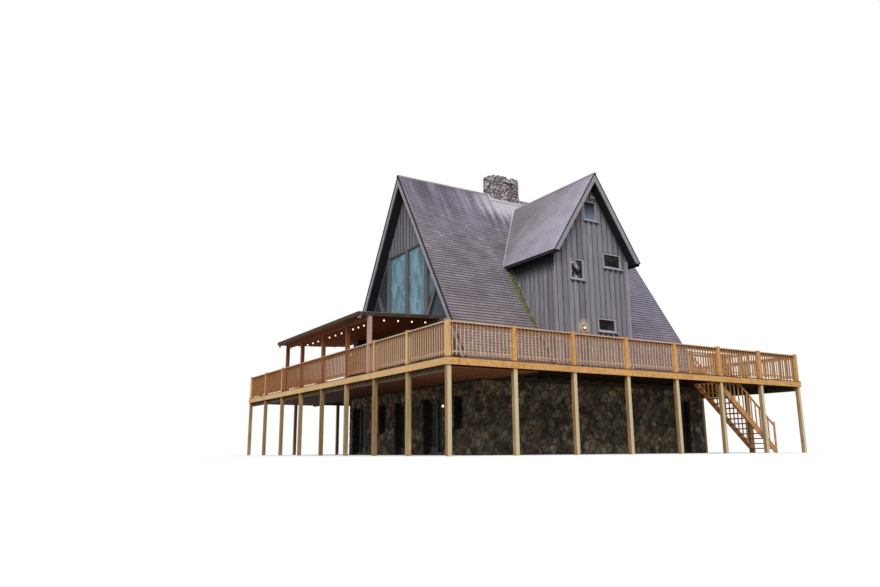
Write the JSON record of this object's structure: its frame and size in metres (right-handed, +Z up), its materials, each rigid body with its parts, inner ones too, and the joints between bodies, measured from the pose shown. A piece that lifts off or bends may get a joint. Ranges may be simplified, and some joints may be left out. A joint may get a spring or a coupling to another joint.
{
  "type": "a-frame cabin",
  "caption": "A-frame cabin on a stone basement, with cross gables, glazed gable ends, a railed wrap-round deck on posts, a low porch roof and a stair.",
  "frame": {"origin": "on the ground, under the middle of the house's footprint, on the underside of the basement floor", "axes": "+Z up, the glazed front gable faces -Y, +X to the right along the longest side of the deck"},
  "size_m": [19.7272, 17.6388, 12.711],
  "materials": {
    "concrete": "rough",
    "fieldstone": "rough",
    "floor_timber": "matte",
    "shingles": "rough mineral",
    "siding": "weathered",
    "trim_boards": "weathered",
    "window_glass": "clear",
    "stained_cedar": "satin stain",
    "treated_timber": "weathered",
    "ceiling_boards": "matte stain",
    "porch_timber": "matte stain",
    "dark_joinery": "satin",
    "lamp_metal": "satin",
    "lamp_glass": "lit"
  },
  "bodies": {
    "house": {"basement_floor": "concrete", "front_stone_piers": "fieldstone", "stone_lintels": "fieldstone", "stone_sills": "fieldstone", "right_stone_wall": "fieldstone", "left_stone_wall": "fieldstone", "back_stone_wall": "fieldstone", "main_floor": "floor_timber", "upper_floors": "floor_timber", "roof_right_front": "shingles", "roof_right_back": "shingles", "roof_left_front": "shingles", "roof_left_back": "shingles", "gable_walls": "siding", "gable_frames": "siding", "gable_glass": "window_glass", "rake_boards": "trim_boards", "ridge_caps": "shingles", "chimney": "fieldstone", "dormer_walls": "siding", "dormer_cheeks": "siding", "dormer_roof_right": "shingles", "dormer_roof_left": "shingles", "dormer_windows": "trim_boards", "dormer_glass": "window_glass", "decking": "stained_cedar", "deck_joists": "treated_timber", "rim_joists": "treated_timber", "deck_beams": "treated_timber", "deck_fascia": "stained_cedar", "deck_posts": "treated_timber", "deck_ceiling": "ceiling_boards", "railing_front": "stained_cedar", "railing_right": "stained_cedar", "railing_back": "stained_cedar", "railing_left": "stained_cedar", "stairwell_railing": "stained_cedar", "stair_stringers": "stained_cedar", "stair_treads": "stained_cedar", "stair_handrails": "stained_cedar", "porch_roof": "trim_boards", "porch_frame": "porch_timber", "porch_lamps": "lamp_glass", "basement_frames": "dark_joinery", "basement_glass": "window_glass", "wall_lamps": "lamp_metal"},
    "left_leaf": {"door_left": "dark_joinery", "door_left_glass": "window_glass"},
    "middle_leaf": {"door_middle": "dark_joinery", "door_middle_glass": "window_glass"},
    "right_leaf": {"door_right": "dark_joinery", "door_right_glass": "window_glass"},
    "side_leaf": {"side_door": "dark_joinery"}
  },
  "joints": [
    {"name": "left_door_hinge", "type": "hinge", "parent": "house", "child": "left_leaf", "pos_m": [-3.78, -5.368, 1], "axis": [0, 0, -1], "range_deg": [0, 90]},
    {"name": "middle_door_hinge", "type": "hinge", "parent": "house", "child": "middle_leaf", "pos_m": [-0.9, -5.368, 1], "axis": [0, 0, 1], "range_deg": [0, 90]},
    {"name": "right_door_hinge", "type": "hinge", "parent": "house", "child": "right_leaf", "pos_m": [1.49, -5.368, 1], "axis": [0, 0, 1], "range_deg": [0, 90]},
    {"name": "side_door_hinge", "type": "hinge", "parent": "house", "child": "side_leaf", "pos_m": [5.237, 4.765, 1], "axis": [0, 0, -1], "range_deg": [0, 90]}
  ]
}
